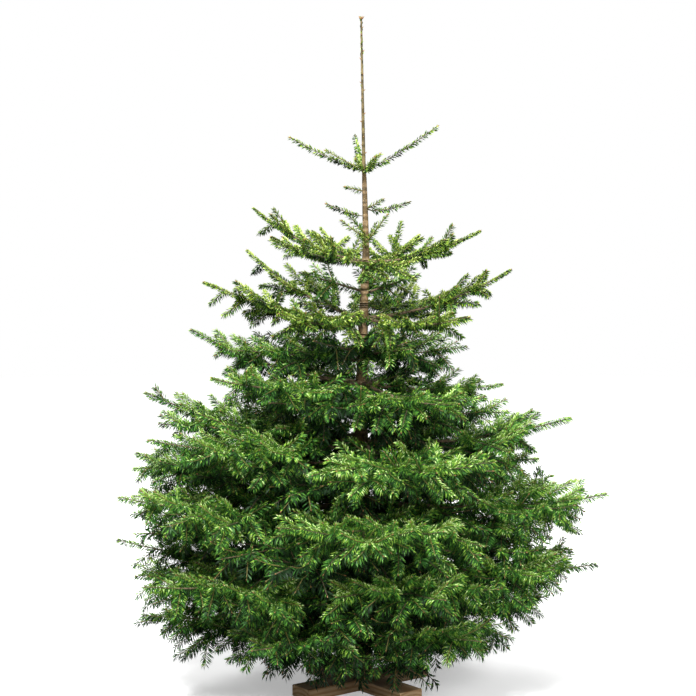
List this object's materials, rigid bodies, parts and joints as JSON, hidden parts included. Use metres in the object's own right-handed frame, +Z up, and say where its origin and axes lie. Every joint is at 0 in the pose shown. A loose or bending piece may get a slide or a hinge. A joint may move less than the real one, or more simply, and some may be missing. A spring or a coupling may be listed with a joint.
{
  "type": "christmas tree",
  "caption": "Cut fir christmas tree: a tall bare leader over whorls of flat, layered boughs that widen to a dense skirt, standing on a plain cross of two boards.",
  "frame": {"origin": "on the floor, under the middle of the crossed boards of the stand and on the trunk's axis", "axes": "+Z up along the trunk; +X to the right and -Y towards the viewer in the main view"},
  "size_m": [1.4539, 1.3298, 2],
  "materials": {
    "trunk_bark": "rough bark",
    "bough_bark": "thin smooth bark",
    "young_foliage": "fresh waxy needles",
    "foliage": "waxy needles",
    "shaded_foliage": "older waxy needles",
    "stand_board": "planed softwood"
  },
  "bodies": {
    "root": {"fifth_whorl_foliage_1": "foliage", "fifth_whorl_foliage_2": "foliage", "fifth_whorl_foliage_3": "foliage", "fifth_whorl_foliage_4": "foliage", "fifth_whorl_foliage_5": "foliage", "fifth_whorl_foliage_6": "foliage", "fourth_whorl_foliage_1": "foliage", "fourth_whorl_foliage_2": "foliage", "fourth_whorl_foliage_3": "foliage", "fourth_whorl_foliage_4": "foliage", "fourth_whorl_foliage_5": "foliage", "fourth_whorl_foliage_6": "foliage", "lowest_whorl_foliage_1": "shaded_foliage", "lowest_whorl_foliage_2": "shaded_foliage", "lowest_whorl_foliage_3": "shaded_foliage", "lowest_whorl_foliage_4": "shaded_foliage", "lowest_whorl_foliage_5": "shaded_foliage", "lowest_whorl_foliage_6": "shaded_foliage", "second_whorl_bough_1": "bough_bark", "second_whorl_bough_2": "bough_bark", "second_whorl_bough_4": "bough_bark", "second_whorl_bough_5": "bough_bark", "second_whorl_bough_6": "bough_bark", "second_whorl_foliage_1": "young_foliage", "second_whorl_foliage_2": "young_foliage", "second_whorl_foliage_3": "young_foliage", "second_whorl_foliage_4": "young_foliage", "second_whorl_foliage_5": "young_foliage", "second_whorl_foliage_6": "young_foliage", "seventh_whorl_foliage_1": "shaded_foliage", "seventh_whorl_foliage_2": "shaded_foliage", "seventh_whorl_foliage_3": "shaded_foliage", "seventh_whorl_foliage_4": "shaded_foliage", "seventh_whorl_foliage_5": "shaded_foliage", "seventh_whorl_foliage_6": "shaded_foliage", "sixth_whorl_foliage_1": "foliage", "sixth_whorl_foliage_2": "foliage", "sixth_whorl_foliage_3": "foliage", "sixth_whorl_foliage_4": "foliage", "sixth_whorl_foliage_5": "foliage", "sixth_whorl_foliage_6": "foliage", "small_bough_left": "bough_bark", "small_bough_right": "bough_bark", "stand_board_over": "stand_board", "stand_board_under": "stand_board", "third_whorl_bough_1": "bough_bark", "third_whorl_bough_4": "bough_bark", "third_whorl_bough_5": "bough_bark", "third_whorl_foliage_1": "young_foliage", "third_whorl_foliage_2": "young_foliage", "third_whorl_foliage_3": "young_foliage", "third_whorl_foliage_4": "young_foliage", "third_whorl_foliage_5": "young_foliage", "third_whorl_foliage_6": "young_foliage", "top_bough_back": "bough_bark", "top_bough_front": "bough_bark", "top_bough_left": "bough_bark", "top_bough_right": "bough_bark", "trunk": "trunk_bark"}
  },
  "joints": []
}
